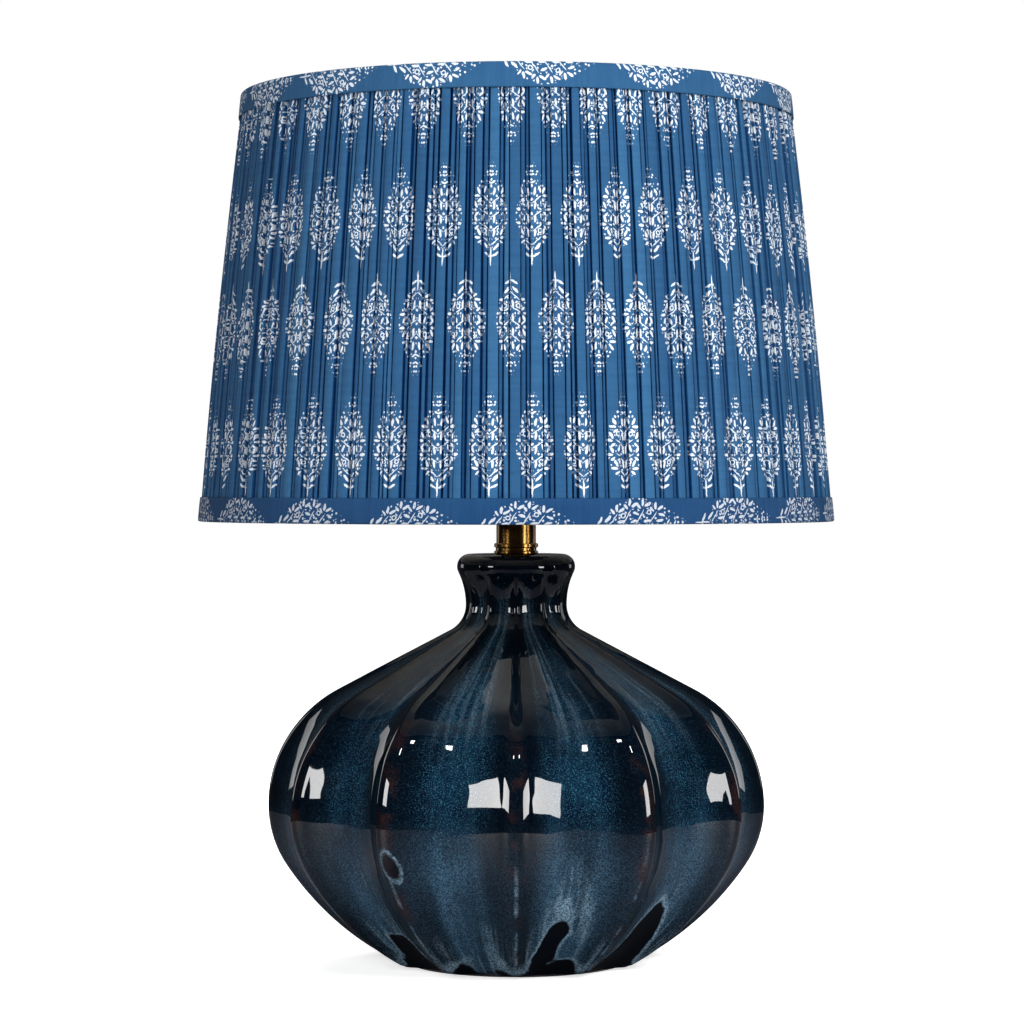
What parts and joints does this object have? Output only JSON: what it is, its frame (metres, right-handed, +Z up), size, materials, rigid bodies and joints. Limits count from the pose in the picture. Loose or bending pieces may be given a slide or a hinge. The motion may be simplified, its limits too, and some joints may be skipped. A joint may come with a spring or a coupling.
{
  "type": "ceramic table lamp",
  "caption": "Table lamp: a squat ribbed ceramic body in dark blue glaze, a brass neck, and a gathered block-print cloth shade carried on a harp over the socket.",
  "frame": {"origin": "on the table, under the middle of the felt foot", "axes": "+Z up the lamp's axis, -Y to the front, +X to the right seen from the front"},
  "size_m": [0.3564, 0.3564, 0.485],
  "materials": {
    "felt": "pressed felt",
    "glaze": "high-gloss reactive glaze, speckled",
    "black_plastic": "moulded",
    "rubber": "moulded",
    "zinc_steel": "zinc plated",
    "antique_brass": "antique, lacquered",
    "bright_brass": "lacquered",
    "fibre": "pressed fibre",
    "phenolic": "moulded",
    "nickel": "nickel plated",
    "bulb_plastic": "moulded",
    "opal": "opal",
    "solder": "dull",
    "light_plate": "coated board",
    "frame_wire": "powder coated",
    "lining": "matt, on a stiff backing",
    "print_cotton": "block-printed cotton"
  },
  "bodies": {
    "lamp_base": {"base_felt": "felt", "ceramic_body": "glaze", "cord_bushing": "black_plastic", "rubber_washer": "rubber", "steel_washer": "zinc_steel", "clamp_nut": "zinc_steel", "threaded_nipple": "zinc_steel", "neck_ring": "antique_brass", "neck_tube": "antique_brass", "neck_cap": "antique_brass", "harp_saddle": "bright_brass", "harp": "bright_brass", "harp_stud": "bright_brass", "socket_cap": "antique_brass", "cap_set_screw": "zinc_steel", "socket_shell": "antique_brass", "socket_liner": "fibre", "socket_insulator": "phenolic", "terminal_screws": "nickel", "screw_shell": "nickel", "centre_contact": "bright_brass"},
    "left_sleeve": {"harp_sleeve_left": "bright_brass"},
    "right_sleeve": {"harp_sleeve_right": "bright_brass"},
    "switch": {"switch_stem": "zinc_steel", "switch_knob": "black_plastic"},
    "bulb_lift": {"bulb_tip": "solder"},
    "bulb": {"bulb_button": "black_plastic", "bulb_cap": "nickel", "bulb_housing": "bulb_plastic", "bulb_led_plate": "light_plate", "bulb_globe": "opal"},
    "shade": {"shade_bottom_ring": "frame_wire", "shade_top_ring": "frame_wire", "shade_struts": "frame_wire", "spider_hub": "frame_wire", "spider_arms": "frame_wire", "shade_lining": "lining", "shade_cover": "print_cotton", "shade_bottom_trim": "print_cotton", "shade_top_trim": "print_cotton"},
    "finial_lift": {"finial_bush": "bright_brass"},
    "finial": {"finial_knob": "antique_brass"}
  },
  "joints": [
    {"name": "left_sleeve_slide", "type": "slide", "parent": "lamp_base", "child": "left_sleeve", "axis": [0, 0, 1], "range_m": [0, 0.012]},
    {"name": "right_sleeve_slide", "type": "slide", "parent": "lamp_base", "child": "right_sleeve", "axis": [0, 0, 1], "range_m": [0, 0.012]},
    {"name": "switch_turn", "type": "hinge", "parent": "lamp_base", "child": "switch", "pos_m": [0, -0.02, 0.2921], "axis": [0, -1, 0], "continuous": true},
    {"name": "bulb_rise", "type": "slide", "parent": "lamp_base", "child": "bulb_lift", "axis": [0, 0, 1], "range_m": [0, 0.00907]},
    {"name": "bulb_turn", "type": "hinge", "parent": "bulb_lift", "child": "bulb", "pos_m": [0, 0, 0.3058], "axis": [0, 0, 1], "range_deg": [0, 910]},
    {"name": "shade_turn", "type": "hinge", "parent": "lamp_base", "child": "shade", "pos_m": [0, 0, 0.455], "axis": [0, 0, 1], "continuous": true},
    {"name": "finial_rise", "type": "slide", "parent": "lamp_base", "child": "finial_lift", "axis": [0, 0, 1], "range_m": [0, 0.008]},
    {"name": "finial_turn", "type": "hinge", "parent": "finial_lift", "child": "finial", "pos_m": [0, 0, 0.455], "axis": [0, 0, 1], "range_deg": [0, 3086]}
  ],
  "couplings": [
    {"joint": "bulb_turn", "follows": "bulb_rise", "rad_per_m": 1730.9},
    {"joint": "finial_turn", "follows": "finial_rise", "rad_per_m": 6679}
  ]
}
